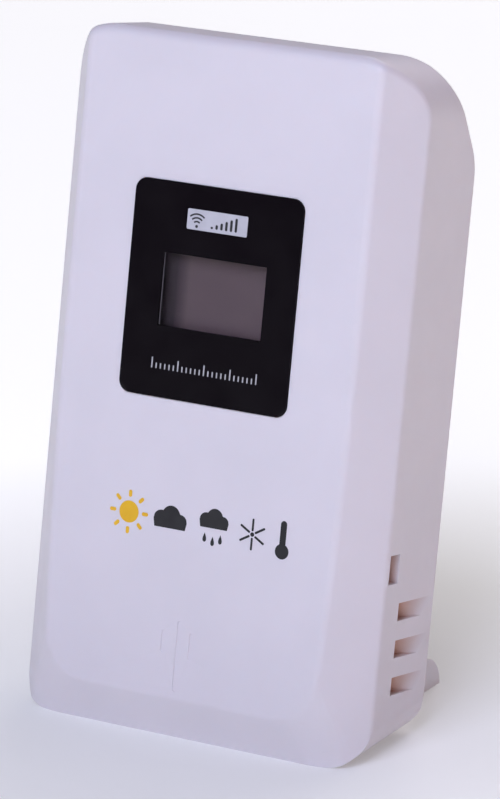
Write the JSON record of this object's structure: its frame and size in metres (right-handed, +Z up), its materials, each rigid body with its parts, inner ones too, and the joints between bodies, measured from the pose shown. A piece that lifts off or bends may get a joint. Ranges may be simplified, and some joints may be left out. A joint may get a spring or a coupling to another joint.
{
  "type": "wireless temperature sensor",
  "caption": "Small white remote temperature sensor with a display window, side louvres, fold-out rear stand, wall keyhole and a battery door over batteries and controls",
  "frame": {"origin": "centre of the bounding box in plan, on the table the sensor stands on", "axes": "+X to the viewer's right when facing the display, +Y from the front to the back, +Z up"},
  "size_m": [0.0624, 0.0438, 0.1085],
  "materials": {
    "case_white": "satin moulded white",
    "cover_white": "satin moulded white",
    "stand_white": "satin moulded white",
    "label_black": "gloss black",
    "adhesive": "matt film",
    "clear_pane": "clear",
    "polariser": "dark grey film",
    "display_glass": "smoked",
    "reflector": "grey film",
    "holder_grey": "matt",
    "connector_rubber": "pink rubber strip",
    "board_green": "solder mask",
    "chip_black": "moulded resin",
    "tin": "tinned metal",
    "capacitor_sleeve": "sleeve",
    "copper_wire": "enamelled copper",
    "probe_resin": "dark resin bead",
    "cell_wrap": "printed sleeve with metal ends",
    "contact_steel": "nickel plated",
    "screw_steel": "zinc plated",
    "switch_black": "black",
    "control_grey": "grey"
  },
  "bodies": {
    "case": {"front_shell": "case_white", "rear_cover": "cover_white", "label_plate": "label_black", "label_adhesive": "adhesive", "window_lens": "clear_pane", "lcd_polariser": "polariser", "lcd_cell": "display_glass", "lcd_reflector": "reflector", "lcd_holder": "holder_grey", "zebra_connector": "connector_rubber", "circuit_board": "board_green", "controller_chip": "chip_black", "timing_crystal": "tin", "filter_capacitor": "capacitor_sleeve", "chip_components": "chip_black", "radio_board": "board_green", "radio_resonator": "tin", "antenna_coil": "copper_wire", "temperature_sensor": "probe_resin", "sensor_leads": "tin", "battery_lower": "cell_wrap", "battery_upper": "cell_wrap", "battery_springs": "contact_steel", "battery_link_plate": "contact_steel", "positive_terminal": "contact_steel", "negative_terminal": "contact_steel", "channel_switch_body": "switch_black", "transmit_switch": "switch_black", "unit_switch": "switch_black", "case_screws": "screw_steel", "board_screws": "screw_steel"},
    "stand": {"stand": "stand_white"},
    "door": {"battery_door": "cover_white"},
    "channel_knob": {"channel_switch_knob": "control_grey"},
    "transmit": {"transmit_button": "control_grey", "transmit_plunger": "control_grey"},
    "unit": {"unit_button": "control_grey", "unit_plunger": "control_grey"}
  },
  "joints": [
    {"name": "stand_hinge", "type": "hinge", "parent": "case", "child": "stand", "pos_m": [0, -0.00087, 0.0036], "axis": [1, 0, 0], "range_deg": [0, 79.5]},
    {"name": "door_hinge", "type": "hinge", "parent": "case", "child": "door", "pos_m": [0, 0.00891, 0.03675], "axis": [-1, 0, 0], "range_deg": [0, 75]},
    {"name": "channel_slide", "type": "slide", "parent": "case", "child": "channel_knob", "axis": [1, 0, 0], "range_m": [0, 0.004]},
    {"name": "transmit_press", "type": "slide", "parent": "case", "child": "transmit", "axis": [0, -0.9834, 0.1817], "range_m": [0, 0.0005], "stiffness_N_per_m": 400},
    {"name": "unit_press", "type": "slide", "parent": "case", "child": "unit", "axis": [0, -0.9834, 0.1817], "range_m": [0, 0.0005], "stiffness_N_per_m": 400}
  ]
}
